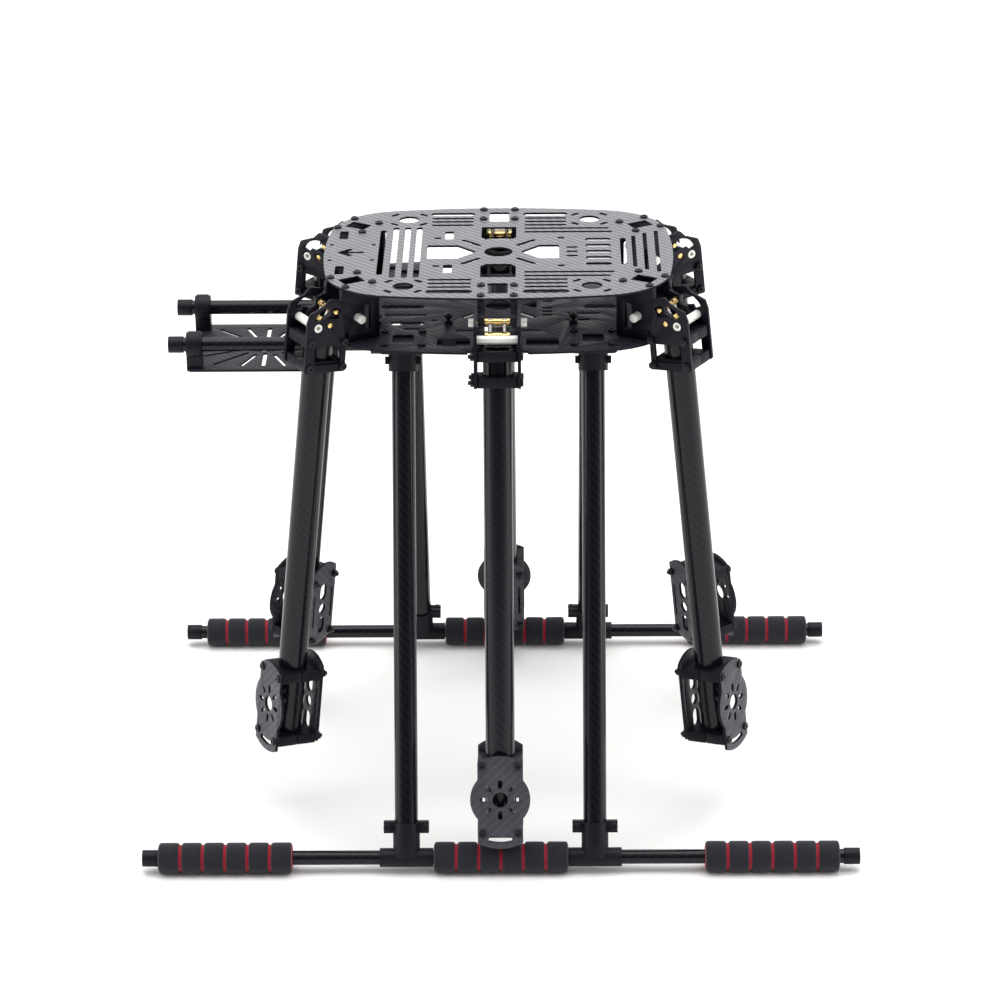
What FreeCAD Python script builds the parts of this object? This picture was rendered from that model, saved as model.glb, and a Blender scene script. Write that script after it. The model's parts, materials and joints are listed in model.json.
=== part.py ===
import FreeCAD, Part
import math
import os

# Folding six-arm multirotor frame, shown folded for carrying, standing on its skids.
# Millimetres.  +X is the tail, -X the nose, +Z up.  The origin is on the ground
# under the centre of the hub.
#
# Each arm is drawn deployed in its own frame: X along the arm, Y across it, Z up,
# with the fold pivot at the origin.  It is then folded down and set at its station.

V = FreeCAD.Vector

# ---- driving dimensions -------------------------------------------------------------
MOTOR_CIRCLE_R = 425.0            # hub centre to motor centre, arms deployed
ARM_COUNT = 6
FIRST_ARM_DEG = -90.0             # azimuth of arm 1, the others follow every 60 degrees
SIDE_PIVOT_R = 140.7              # pivots of the arms beside the X axis
CROSS_PIVOT_R = 105.6             # pivots of the two arms on the Y axis
SIDE_LEAN_DEG = 6.6               # how far a folded arm leans out from vertical
CROSS_LEAN_DEG = 12.3

# hub
PLATE_T = 1.5
PLATE_HALF_X = 122.0
PLATE_HALF_Y = 95.9
PLATE_SIDE_R = 500.0              # gentle arcs of the long sides
PLATE_END_R = 350.0               # gentle arcs of nose and tail
PLATE_CORNER_R = 50.0
PIVOT_Z = 365.75
GAP_ABOVE = 22.25                 # pivot height to the inner face of the top plate
GAP_BELOW = 15.75                 # and to that of the bottom plate

# landing gear
SKID_HALF_GAUGE = 186.2
SKID_Z = 10.8
SKID_HALF_LENGTH = 248.6
SKID_TUBE_R = 5.0
LEG_X = 65.3
LEG_TOP_Y = 67.0
LEG_R = 8.0
FOAM_R = 10.8
FOAM_LENGTH = 93.0
FOAM_X = {-1: (-191.0, 0.2, 188.0), 1: (-186.4, 0.2, 189.4)}     # near and far skid

# front accessory rails
RAIL_Y = 37.8
RAIL_Z = 335.5
RAIL_R = 5.0
RAIL_FRONT_X = -224.0
RAIL_REAR_X = 84.0
RAIL_COLLAR_X = (-212.0, -117.0)
HANGER_X = (-84.0, -34.6, 52.0)
HANGER_STUD_TOP = 8.0             # the hanger studs' reach above the bottom plate
BATTERY_PLATE_X = (-217.5, -111.5)
BATTERY_PLATE_HALF_Y = 46.0
BATTERY_PLATE_Z = 318.0

# arms
TUBE_R = 10.0
TUBE_BORE_R = 8.5
TUBE_START = 8.8
SEAT_IN = 9.0                     # the fixed seat plates, measured across the arm
SEAT_OUT = 13.4
CHEEK_IN = 13.75                  # the moving cheek plates, outside the seats
CHEEK_OUT = 15.95
HINGE_PIN_R = 2.0
HINGE_FIT = 0.06
LATCH_DEG = 120.0                 # direction of the latch slot, from outward towards up
LATCH_R = 10.0                    # latch pin's seated distance from the pivot
LATCH_TRAVEL = 1.2
LATCH_PIN_R = 1.6
LATCH_PLAY = 0.3
SPACER_BAR_R = 3.0
SPACER_BAR_AT = (1.3, 9.2)
MOTOR_PLATE_FACE = 16.9           # outer face of a motor plate, from the tube axis
MOTOR_PLATE_T = 2.0
MOTOR_SCREW_X = 24.0
MOTOR_SCREW_Y = 12.4

# fasteners
M3_R = 1.5
M3_HEAD_R = 2.75
M3_HEAD_H = 1.65
M3_NUT_R = 2.9
M3_NUT_H = 2.4

# places that several parts share
TOP_PLATE_Z = PIVOT_Z + GAP_ABOVE
BOTTOM_PLATE_Z = PIVOT_Z - GAP_BELOW - PLATE_T
SEAT_SCREW_X = (-35.1, -14.4)     # top screws of a seat, from its pivot
SEAT_FOOT_SCREW_X = (-35.1, -20.5)
SEAT_SCREW_END_Z = 12.2           # how deep the seat screws reach, from the pivot
SEAT_FOOT_SCREW_END_Z = -9.2
SEAT_SCREW_Y = 11.2
SEAT_ROD_AT = (-22.3, 1.5)
SEAT_ROD_R = 3.0
SEAT_ROD_HALF = 20.0
CLAMP_SCREW_X = (12.0, 29.8)
CLAMP_SCREW_Z = (-11.9, 13.6)
LEG_SCREW = 13.0
TEE_SCREW_X = 13.0
TEE_LUG_UP = 21.5                 # from the skid's centre line up the leg
TEE_LUG_HALF_Y = 4.0


class Station:
    """Where an arm's pivot stands on the hub, and how the arm lies when folded."""

    def __init__(self, index):
        self.name = str(index + 1)
        self.azimuth = FIRST_ARM_DEG + index * 360.0 / ARM_COUNT
        self.cross = index % 3 == 0
        self.pivot_r = CROSS_PIVOT_R if self.cross else SIDE_PIVOT_R
        self.lean = CROSS_LEAN_DEG if self.cross else SIDE_LEAN_DEG
        self.arm_length = MOTOR_CIRCLE_R - self.pivot_r

    def seat(self, shape):
        placed = shape.copy()
        placed.rotate(V(0, 0, 0), V(0, 0, 1), self.azimuth)
        angle = math.radians(self.azimuth)
        placed.translate(V(self.pivot_r * math.cos(angle), self.pivot_r * math.sin(angle), PIVOT_Z))
        return placed

    def fold(self, shape):
        folded = shape.copy()
        folded.rotate(V(0, 0, 0), V(0, 1, 0), 90.0 - self.lean)
        return self.seat(folded)


# ---- drawing helpers ----------------------------------------------------------------
def rounded_wire(points, radius):
    """A closed wire through the points, with each corner rounded by an arc."""
    count = len(points)
    starts = []
    edges = []
    for i in range(count):
        corner = points[i]
        before = (points[i - 1] - corner).normalize()
        after = (points[(i + 1) % count] - corner).normalize()
        half = before.getAngle(after) / 2.0
        reach = radius / math.tan(half)
        middle = (before + after).normalize() * (radius / math.sin(half) - radius)
        starts.append((corner + before * reach, corner + after * reach))
        edges.append(Part.Arc(starts[i][0], corner + middle, starts[i][1]).toShape())
    for i in range(count):
        leave = starts[i][1]
        reach_next = starts[(i + 1) % count][0]
        if leave.distanceToPoint(reach_next) > 1e-6:
            edges.append(Part.LineSegment(leave, reach_next).toShape())
    return Part.Wire(Part.__sortEdges__(edges))


def flat_prism(outline, radius, low, height):
    """An outline in X and Y, rounded and raised from z = low."""
    wire = rounded_wire([V(x, y, low) for x, y in outline], radius)
    return Part.Face(wire).extrude(V(0, 0, height))


def cheek_prism(outline, radius, low, width):
    """An outline in X and Z, rounded and widened from y = low."""
    wire = rounded_wire([V(x, low, z) for x, z in outline], radius)
    return Part.Face(wire).extrude(V(0, width, 0))


def box(x, y, z):
    """A box from its three (low, high) ranges."""
    return Part.makeBox(x[1] - x[0], y[1] - y[0], z[1] - z[0], V(x[0], y[0], z[0]))


def rod(radius, start, end):
    along = end - start
    return Part.makeCylinder(radius, along.Length, start, along)


def cross_rod(radius, x, z, low, high):
    """A round bar that lies across the arm."""
    return rod(radius, V(x, low, z), V(x, high, z))


def capsule(x0, y0, x1, y1, width, low, height):
    """A slot cutter with round ends, from one end centre to the other."""
    start = V(x0, y0, low)
    end = V(x1, y1, low)
    side = (end - start).cross(V(0, 0, 1)).normalize() * (width / 2.0)
    body = Part.Face(Part.makePolygon([start + side, end + side, end - side, start - side, start + side]))
    ends = [Part.makeCylinder(width / 2.0, height, point) for point in (start, end)]
    return body.extrude(V(0, 0, height)).fuse(ends).removeSplitter()


def mirrored(x, y):
    """The four places that x and y stand for on both sides of both axes."""
    return [(sx * x, sy * y) for sx in (-1, 1) for sy in (-1, 1)]


def export(shape, node):
    shape.exportStep("parts/" + node + ".step")
    print(node, len(shape.Solids), "solids", round(shape.Volume))


# ---- hub ----------------------------------------------------------------------------
def oval_face(z):
    """The hub plates' outline: four gentle arcs joined by four tangent corner arcs."""
    side_y = PLATE_HALF_Y - PLATE_SIDE_R
    end_x = PLATE_HALF_X - PLATE_END_R
    side_reach = PLATE_SIDE_R - PLATE_CORNER_R
    end_reach = PLATE_END_R - PLATE_CORNER_R
    gap = math.hypot(side_y, end_x)
    along = (side_reach ** 2 - end_reach ** 2 + gap ** 2) / (2.0 * gap)
    off = math.sqrt(side_reach ** 2 - along ** 2)
    toward = V(end_x, -side_y, 0) * (1.0 / gap)
    across = V(-toward.y, toward.x, 0)
    corner = V(0, side_y, 0) + toward * along - across * off
    side_join = V(0, side_y, 0) + (corner - V(0, side_y, 0)) * (PLATE_SIDE_R / side_reach)
    end_join = V(end_x, 0, 0) + (corner - V(end_x, 0, 0)) * (PLATE_END_R / end_reach)
    bulge = corner + (corner * (1.0 / corner.Length)) * PLATE_CORNER_R

    def at(point, sx, sy):
        return V(sx * point.x, sy * point.y, z)

    edges = []
    for sx in (-1, 1):
        edges.append(Part.Arc(at(end_join, sx, -1), V(sx * PLATE_HALF_X, 0, z), at(end_join, sx, 1)))
        edges.append(Part.Arc(at(side_join, -1, sx), V(0, sx * PLATE_HALF_Y, z), at(side_join, 1, sx)))
        for sy in (-1, 1):
            edges.append(Part.Arc(at(side_join, sx, sy), at(bulge, sx, sy), at(end_join, sx, sy)))
    return Part.Face(Part.Wire(Part.__sortEdges__([edge.toShape() for edge in edges])))


class Cutters:
    """Collects the holes of one plate."""

    def __init__(self, low):
        self.low = low - 1.0
        self.height = PLATE_T + 2.0
        self.shapes = []

    def hole(self, x, y, radius):
        self.shapes.append(Part.makeCylinder(radius, self.height, V(x, y, self.low)))

    def slot(self, x0, y0, x1, y1, width):
        self.shapes.append(capsule(x0, y0, x1, y1, width, self.low, self.height))

    def window(self, outline, radius):
        self.shapes.append(flat_prism(outline, radius, self.low, self.height))

    def rectangle(self, x, y, half_x, half_y, radius):
        corners = [(x - half_x, y - half_y), (x + half_x, y - half_y)]
        corners += [(x + half_x, y + half_y), (x - half_x, y + half_y)]
        self.window(corners, radius)

    def seat_holes(self, offsets):
        for station in stations:
            angle = math.radians(station.azimuth)
            for offset in offsets:
                for side in (-SEAT_SCREW_Y, SEAT_SCREW_Y):
                    reach = station.pivot_r + offset
                    x = reach * math.cos(angle) - side * math.sin(angle)
                    y = reach * math.sin(angle) + side * math.cos(angle)
                    self.hole(x, y, M3_R)

    def seat_gaps(self, reach, half):
        """An opening in the middle of each side seat, between its screws."""
        for station in stations:
            if not station.cross:
                frame = box(reach, (-half, half), (self.low - PIVOT_Z, self.low - PIVOT_Z + self.height))
                self.shapes.append(station.seat(frame))

    def cut(self, plate):
        return plate.cut(self.shapes)


def shared_windows(cutters):
    """Holes that both hub plates have."""
    cutters.hole(0, 0, 9.9)
    for side in (-1, 1):
        inner = 25.7 * side
        outer = 53.3 * side
        shoulder = 30.5 * side
        cutters.window([(-8.5, inner), (8.5, inner), (12.3, shoulder), (12.3, outer),
                        (-12.3, outer), (-12.3, shoulder)], 1.2)
        cutters.rectangle(0, 75.9 * side, 7.0, 10.3, 1.5)
    for x, y in mirrored(1, 1):
        cutters.slot(13.8 * x, 14.2 * y, 24.6 * x, 24.6 * y, 3.2)


def top_plate():
    cutters = Cutters(TOP_PLATE_Z)
    shared_windows(cutters)
    cutters.seat_holes(SEAT_SCREW_X)
    for x, y in mirrored(1, 1):
        cutters.hole(64.5 * x, 70.8 * y, 7.2)
        for turn in (45, 135, 225, 315):
            out = V(math.cos(math.radians(turn)), math.sin(math.radians(turn)), 0)
            middle = V(64.5 * x, 70.8 * y, 0) + out * 14.5
            half = V(-out.y, out.x, 0) * 2.0
            cutters.slot(middle.x + half.x, middle.y + half.y, middle.x - half.x, middle.y - half.y, 3.2)
        for row in (57.9, 65.4, 72.9):
            cutters.slot(19.6 * x, row * y, 46.6 * x, row * y, 3.2)
        cutters.slot(20.6 * x, 82.0 * y, 45.6 * x, 82.0 * y, 6.8)
    cutters.seat_gaps((-32.5, -17.0), 5.8)
    for side, far in ((-1, 50.0), (1, 42.5)):
        cutters.window([(far * side, 14.2), (28.5 * side, 14.2), (15.4 * side, 0.0),
                        (28.5 * side, -14.2), (far * side, -14.2)], 1.5)
    # tail: two long slots each side, four cross slots, and plain slots where a badge could go
    for side in (-1, 1):
        cutters.slot(19.6, 50.4 * side, 76.5, 50.4 * side, 3.2)
        cutters.slot(19.6, 42.6 * side, 79.0, 42.6 * side, 3.2)
        cutters.slot(43.0, 29.4 * side, 44.6, 29.4 * side, 3.6)
    for x, half, width in ((87.5, 26.0, 4.2), (95.0, 31.6, 2.9), (103.0, 37.4, 2.9), (111.2, 42.0, 2.9)):
        cutters.slot(x, -half, x, half, width)
    for row in (-26.0, -13.0, 0.0, 13.0, 26.0):
        cutters.slot(63.5, row, 76.5, row, 5.2)
    for row in (-9.0, 0.0, 9.0):
        cutters.slot(49.0, row, 54.0, row, 3.2)
    # nose: cross slots, heading arrow, strap holes and small screw holes
    for x, half in ((-81.9, 45.0), (-73.0, 51.2), (-64.6, 51.4), (-56.4, 51.2)):
        cutters.slot(x, -half, x, half, 4.2)
    cutters.window([(-94.3, 1.5), (-105.6, 1.5), (-101.8, 6.2), (-104.4, 8.0), (-113.0, 0.0),
                    (-104.4, -8.0), (-101.8, -6.2), (-105.6, -1.5), (-94.3, -1.5)], 0.3)
    for side in (-1, 1):
        cutters.rectangle(-109.7, 37.2 * side, 3.1, 8.4, 1.4)
        cutters.rectangle(-35.0, 35.4 * side, 3.1, 8.4, 1.5)
        cutters.slot(-43.9, 29.6 * side, -42.3, 29.6 * side, 3.6)
        for x in (-117.4, -87.9):
            cutters.hole(x, 16.3 * side, 1.6)
    plate = oval_face(TOP_PLATE_Z).extrude(V(0, 0, PLATE_T))
    return cutters.cut(plate)


def bottom_plate():
    cutters = Cutters(BOTTOM_PLATE_Z)
    shared_windows(cutters)
    cutters.seat_holes(SEAT_FOOT_SCREW_X)
    for x, y in mirrored(LEG_X, LEG_TOP_Y):
        cutters.rectangle(x, y, 7.3, 7.2, 2.0)
        for dx, dy in mirrored(LEG_SCREW, LEG_SCREW):
            cutters.hole(x + dx, y + dy, M3_R)
    for x, y in mirrored(1, 1):
        cutters.rectangle(30.5 * x, 75.0 * y, 11.4, 7.4, 2.0)
        cutters.slot(16.5 * x, 52.0 * y, 28.5 * x, 52.0 * y, 3.0)
    cutters.window([(26.5, 8.0), (15.4, 0.0), (26.5, -8.0)], 0.8)
    # slots for straps and cable ties: along X, from x0 to x1 at y
    for x0, x1, y, width in ((-83.0, -52.0, 3.0, 7.0), (59.0, 83.0, 4.0, 7.0)):
        half = width / 2.0
        cutters.slot(x0 + half, -y, x1 - half, -y, width)
    for x0, x1, y, width in ((-80.0, -50.0, 20.0, 3.0), (-75.0, -51.5, 37.0, 6.5), (-66.0, -50.0, 48.0, 3.0),
                             (-47.0, -42.0, 31.0, 3.0), (48.0, 71.0, 18.0, 3.0), (47.0, 64.0, 31.0, 3.0),
                             (30.0, 38.0, 7.0, 3.0), (30.0, 38.0, 14.0, 3.0), (30.0, 38.0, 21.0, 3.0)):
        half = width / 2.0
        for side in (-1, 1):
            cutters.slot(x0 + half, y * side, x1 - half, y * side, width)
    for side in (-1, 1):
        for x in HANGER_X:
            cutters.hole(x, RAIL_Y * side, M3_R)
    plate = cutters.cut(oval_face(BOTTOM_PLATE_Z).extrude(V(0, 0, PLATE_T)))
    # a shallow notch at each station clears the folded cheeks, and on the Y axis their screws too
    bites = []
    for station in stations:
        low = -GAP_BELOW - PLATE_T - 1.0
        half = 20.6 if station.cross else 16.7
        bites.append(station.seat(box((-12.9, 40.0), (-half, half), (low, low + PLATE_T + 2.0))))
    return plate.cut(bites)


def seat_plates(station):
    """The two fixed plates that carry one arm's hinge between the hub plates."""
    plates = []
    profile = [(-39.0, -GAP_BELOW), (-14.8, -GAP_BELOW), (-14.8, -8.6), (-3.0, -6.4), (2.4, -5.4),
               (5.4, -2.4), (5.4, 1.8), (2.4, 5.4), (-2.0, 6.6), (-2.0, 12.6), (-10.5, 15.0),
               (-10.5, GAP_ABOVE), (-39.0, GAP_ABOVE)]
    direction = math.radians(LATCH_DEG)
    for side in (-1, 1):
        low = SEAT_IN if side > 0 else -SEAT_OUT
        width = SEAT_OUT - SEAT_IN
        plate = cheek_prism(profile, 1.2, low, width)
        cuts = [cross_rod(HINGE_PIN_R, 0, 0, low - 1, low + width + 1)]
        cuts.append(cross_rod(SEAT_ROD_R, SEAT_ROD_AT[0], SEAT_ROD_AT[1], low - 1, low + width + 1))
        for step in range(2):
            reach = LATCH_R + step * LATCH_TRAVEL
            cuts.append(cross_rod(LATCH_PIN_R + 0.05, reach * math.cos(direction),
                                  reach * math.sin(direction), low - 1, low + width + 1))
        cuts.append(latch_channel(LATCH_PIN_R + 0.05, low - 1, width + 2))
        cuts.append(cheek_prism([(-32.5, -9.5), (-27.0, -9.5), (-27.0, 9.5), (-32.5, 9.5)], 2.0,
                                low - 1, width + 2))
        y = side * SEAT_SCREW_Y
        for x in SEAT_SCREW_X:
            cuts.append(rod(M3_R, V(x, y, SEAT_SCREW_END_Z), V(x, y, GAP_ABOVE + 1)))
        for x in SEAT_FOOT_SCREW_X:
            cuts.append(rod(M3_R, V(x, y, -GAP_BELOW - 1), V(x, y, SEAT_FOOT_SCREW_END_Z)))
        plates.append(plate.cut(cuts))
    return plates


def latch_channel(half_width, low, width):
    """The straight part of the latch slot, between its two round ends."""
    direction = V(math.cos(math.radians(LATCH_DEG)), 0, math.sin(math.radians(LATCH_DEG)))
    side = V(direction.z, 0, -direction.x) * half_width
    start = direction * LATCH_R + V(0, low, 0)
    end = direction * (LATCH_R + LATCH_TRAVEL) + V(0, low, 0)
    face = Part.Face(Part.makePolygon([start + side, end + side, end - side, start - side, start + side]))
    return face.extrude(V(0, width, 0))


def grooved_pin(radius, x, z, half_length):
    """A pin across the seat with a collar each end and a middle one; springs hook between."""
    pin = cross_rod(radius, x, z, -half_length, half_length)
    collars = [cross_rod(radius + 0.8, x, z, 6.4, 8.8), cross_rod(radius + 0.8, x, z, -8.8, -6.4)]
    collars.append(cross_rod(radius + 0.5, x, z, -3.4, 3.4))
    return pin.fuse(collars).removeSplitter()


def latch_pin():
    direction = math.radians(LATCH_DEG)
    return grooved_pin(LATCH_PIN_R, LATCH_R * math.cos(direction), LATCH_R * math.sin(direction), 15.6)


def latch_springs():
    """Two tension springs between the hinge pin and the latch pin, as plain sleeves."""
    direction = V(math.cos(math.radians(LATCH_DEG)), 0, math.sin(math.radians(LATCH_DEG)))
    springs = []
    for side in (-4.9, 4.9):
        start = direction * (HINGE_PIN_R + 0.1) + V(0, side, 0)
        end = direction * (LATCH_R - LATCH_PIN_R - 0.1) + V(0, side, 0)
        springs.append(rod(1.3, start, end))
    return springs


def frame_screws():
    """Button-head screws of the seats, leg clamps and skid tees, and the rail hangers' studs."""
    screws = []
    top_face = GAP_ABOVE + PLATE_T
    foot_face = -GAP_BELOW - PLATE_T
    for station in stations:
        for y in (-SEAT_SCREW_Y, SEAT_SCREW_Y):
            for x in SEAT_SCREW_X:
                screws.append(station.seat(down_screw(x, y, top_face, top_face - SEAT_SCREW_END_Z - 0.1)))
            for x in SEAT_FOOT_SCREW_X:
                screws.append(station.seat(up_screw(x, y, foot_face, SEAT_FOOT_SCREW_END_Z - foot_face - 0.1)))
    top = BOTTOM_PLATE_Z + PLATE_T
    for x, y in mirrored(LEG_X, LEG_TOP_Y):
        for dx, dy in mirrored(LEG_SCREW, LEG_SCREW):
            screws.append(down_screw(x + dx, y + dy, top, PLATE_T + 4.0))
    for x in HANGER_X:
        for y in (-RAIL_Y, RAIL_Y):
            screws.append(hanger_stud(x, y, top))
    for sx, sy in mirrored(1, 1):
        screws += [tee_screw(sx, sy, shift) for shift in (-TEE_SCREW_X, TEE_SCREW_X)]
    return screws


def hanger_stud(x, y, base):
    """A stud that stands on the bottom plate, with a nut at its foot and one near its top."""
    stud = rod(M3_R, V(x, y, base - PLATE_T - 3.0), V(x, y, base + HANGER_STUD_TOP))
    flat_r = M3_NUT_R * math.cos(math.radians(30.0))
    nuts = [hexagon(flat_r, V(x, y, base + low), V(0, 0, 1), M3_NUT_H) for low in (0.0, 4.6)]
    return stud.fuse(nuts)


def tee_screw(sx, sy, shift):
    """One of the two screws that close a skid tee on its leg, head outwards."""
    screw = down_screw(0, 0, TEE_LUG_HALF_Y, 2.0 * TEE_LUG_HALF_Y - 0.4)
    screw.rotate(V(0, 0, 0), V(1, 0, 0), -90.0 * sy)
    return on_tee(screw, sx, sy, shift)


def down_screw(x, y, under_head, length):
    head = Part.makeCylinder(M3_HEAD_R, M3_HEAD_H, V(x, y, under_head))
    rim = [edge for edge in head.Edges if edge.BoundBox.ZMin > under_head + M3_HEAD_H / 2.0]
    head = head.makeFillet(0.8, rim)
    shank = rod(M3_R, V(x, y, under_head - length), V(x, y, under_head))
    socket = hexagon(1.0, V(x, y, under_head + M3_HEAD_H - 1.0), V(0, 0, 1), 2.0)
    return head.fuse(shank).cut(socket)


def up_screw(x, y, under_head, length):
    screw = down_screw(x, -y, -under_head, length)
    screw.rotate(V(0, 0, 0), V(1, 0, 0), 180.0)
    return screw


def hexagon(flat_r, base, axis, height):
    """A hexagonal prism, sized by half its width across flats."""
    corners = []
    for turn in range(7):
        angle = math.radians(60.0 * turn)
        corners.append(V(math.cos(angle), math.sin(angle), 0) * (flat_r / math.cos(math.radians(30.0))))
    prism = Part.Face(Part.makePolygon(corners)).extrude(V(0, 0, height))
    prism.Placement = FreeCAD.Placement(base, FreeCAD.Rotation(V(0, 0, 1), axis))
    return prism


# ---- one arm, drawn deployed --------------------------------------------------------
def arm_tube(length):
    end = length + MOTOR_SCREW_X + 4.5
    outer = rod(TUBE_R, V(TUBE_START, 0, 0), V(end, 0, 0))
    return outer.cut(rod(TUBE_BORE_R, V(TUBE_START - 1, 0, 0), V(end + 1, 0, 0)))


def cheek_plates():
    """The pair of moving hinge plates, with the latch pin's curved slot."""
    outline = [(-18.8, 1.5), (-17.4, -7.6), (17.7, -13.4), (33.3, -13.7), (33.6, 17.6),
               (-2.6, 17.6), (-8.9, 15.8), (-13.9, 5.6)]
    plates = []
    for low in (CHEEK_IN, -CHEEK_OUT):
        width = CHEEK_OUT - CHEEK_IN
        plate = cheek_prism(outline, 1.4, low, width)
        cuts = [cheek_prism([(14.8, -9.6), (27.9, -9.6), (27.9, 10.4), (14.8, 10.4)], 1.2, low - 1, width + 2)]
        cuts.append(cheek_prism([(-4.9, -6.0), (-5.0, 4.5), (-6.0, 8.0), (-9.5, 4.0), (-11.0, -4.5)], 0.8,
                                low - 1, width + 2))
        cuts.append(cross_rod(HINGE_PIN_R + HINGE_FIT, 0, 0, low - 1, low + width + 1))
        cuts.append(cross_rod(SPACER_BAR_R, SPACER_BAR_AT[0], SPACER_BAR_AT[1], low - 1, low + width + 1))
        cuts.append(latch_arc(low - 1, width + 2))
        for x in CLAMP_SCREW_X:
            for z in CLAMP_SCREW_Z:
                cuts.append(cross_rod(M3_R, x, z, low - 1, low + width + 1))
        plates.append(plate.cut(cuts))
    return plates


def latch_arc(low, width):
    """The curved slot that the latch pin sweeps as the arm folds."""
    inner = LATCH_R - LATCH_PIN_R - LATCH_PLAY
    outer = LATCH_R + LATCH_TRAVEL + LATCH_PIN_R + LATCH_PLAY
    end_room = math.degrees((LATCH_PIN_R + LATCH_PLAY) / LATCH_R)
    start = LATCH_DEG - end_room
    end = LATCH_DEG + 90.0 - SIDE_LEAN_DEG + end_room

    def at(reach, degrees):
        return V(reach * math.cos(math.radians(degrees)), low, reach * math.sin(math.radians(degrees)))

    middle = (start + end) / 2.0
    edges = [Part.Arc(at(outer, start), at(outer, middle), at(outer, end)).toShape()]
    edges.append(Part.LineSegment(at(outer, end), at(inner, end)).toShape())
    edges.append(Part.Arc(at(inner, end), at(inner, middle), at(inner, start)).toShape())
    edges.append(Part.LineSegment(at(inner, start), at(outer, start)).toShape())
    return Part.Face(Part.Wire(edges)).extrude(V(0, width, 0))


def hinge_clamp(x):
    """A tube clamp between the cheeks, split on its upper side."""
    block = cheek_block(x - 3.4, x + 3.4, CHEEK_IN, -13.2, 16.6, 1.6)
    cuts = [rod(TUBE_R, V(x - 6, 0, 0), V(x + 6, 0, 0))]
    cuts.append(box((x - 6, x + 6), (-0.2, 0.2), (TUBE_R - 1, 18.0)))
    for z in CLAMP_SCREW_Z:
        cuts.append(cross_rod(M3_R, x, z, -CHEEK_IN - 1, CHEEK_IN + 1))
    return block.cut(cuts)


def cheek_block(x0, x1, half_y, z0, z1, radius):
    """A block along the arm whose four long edges are rounded."""
    corners = [V(x0, -half_y, z0), V(x0, half_y, z0), V(x0, half_y, z1), V(x0, -half_y, z1)]
    return Part.Face(rounded_wire(corners, radius)).extrude(V(x1 - x0, 0, 0))


def motor_clamp(x):
    """A tube clamp between the two motor plates, split on both sides of the tube."""
    height = MOTOR_PLATE_FACE - MOTOR_PLATE_T
    block = cheek_block(x - 3.5, x + 3.5, 15.4, -height, height, 1.2)
    cuts = [rod(TUBE_R, V(x - 6, 0, 0), V(x + 6, 0, 0))]
    cuts.append(box((x - 6, x + 6), (-17.0, 17.0), (-0.4, 0.4)))
    for y in (-MOTOR_SCREW_Y, MOTOR_SCREW_Y):
        cuts.append(rod(M3_R, V(x, y, -height - 1), V(x, y, height + 1)))
    return block.cut(cuts)


def motor_plates(length):
    """The outer plate carries the motor; the inner one closes the clamp from below."""
    half_y = 15.6
    face = MOTOR_PLATE_FACE - MOTOR_PLATE_T
    top = arched_plate(-26.6, -31.0, 30.8, 34.8, half_y, face)
    top = top.fuse(Part.makeCylinder(20.7, MOTOR_PLATE_T, V(0, 0, face))).removeSplitter()
    cuts = [Part.makeCylinder(5.4, 9.0, V(0, 0, face - 3))]
    for turn in range(8):
        angle = math.radians(45.0 * turn)
        cuts.append(capsule(9.4 * math.cos(angle), 9.4 * math.sin(angle), 12.6 * math.cos(angle),
                            12.6 * math.sin(angle), 3.0 if turn % 2 == 0 else 2.4, face - 3, 9.0))
    cuts.append(tip_slot(face - 3, 9.0))
    cuts += motor_screw_holes(face - 3, 9.0)
    bottom = arched_plate(-30.5, -36.0, 26.5, 30.0, half_y, -MOTOR_PLATE_FACE)
    vents = motor_screw_holes(-MOTOR_PLATE_FACE - 3, 9.0)
    for x in (-12.4, 15.4):
        vents.append(capsule(x - 2.5, 0, x + 2.5, 0, 8.0, -MOTOR_PLATE_FACE - 3, 9.0))
    vents.append(Part.makeCylinder(4.0, 9.0, V(1.5, 0, -MOTOR_PLATE_FACE - 3)))
    for y in (-11.8, 11.8):
        vents.append(capsule(-12.0, y, 12.0, y, 1.8, -MOTOR_PLATE_FACE - 3, 9.0))
    plates = [top.cut(cuts), bottom.cut(vents)]
    for plate in plates:
        plate.translate(V(length, 0, 0))
    return plates


def arched_plate(x0, crown0, x1, crown1, half_y, low):
    """A plate with straight sides, and an arched end at each end."""
    edges = [Part.Arc(V(x0, -half_y, low), V(crown0, 0, low), V(x0, half_y, low)).toShape()]
    edges.append(Part.Arc(V(x1, -half_y, low), V(crown1, 0, low), V(x1, half_y, low)).toShape())
    edges.append(Part.LineSegment(V(x0, half_y, low), V(x1, half_y, low)).toShape())
    edges.append(Part.LineSegment(V(x1, -half_y, low), V(x0, -half_y, low)).toShape())
    return Part.Face(Part.Wire(Part.__sortEdges__(edges))).extrude(V(0, 0, MOTOR_PLATE_T))


def tip_slot(low, height):
    """A curved cable-tie slot near the outer end of a motor plate."""
    ring = Part.makeCylinder(30.2, height, V(0, 0, low), V(0, 0, 1), 32.0)
    ring.rotate(V(0, 0, 0), V(0, 0, 1), -16.0)
    return ring.cut(Part.makeCylinder(26.6, height, V(0, 0, low)))


def motor_screw_holes(low, height):
    return [Part.makeCylinder(M3_R, height, V(x, y, low)) for x, y in mirrored(MOTOR_SCREW_X, MOTOR_SCREW_Y)]


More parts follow.
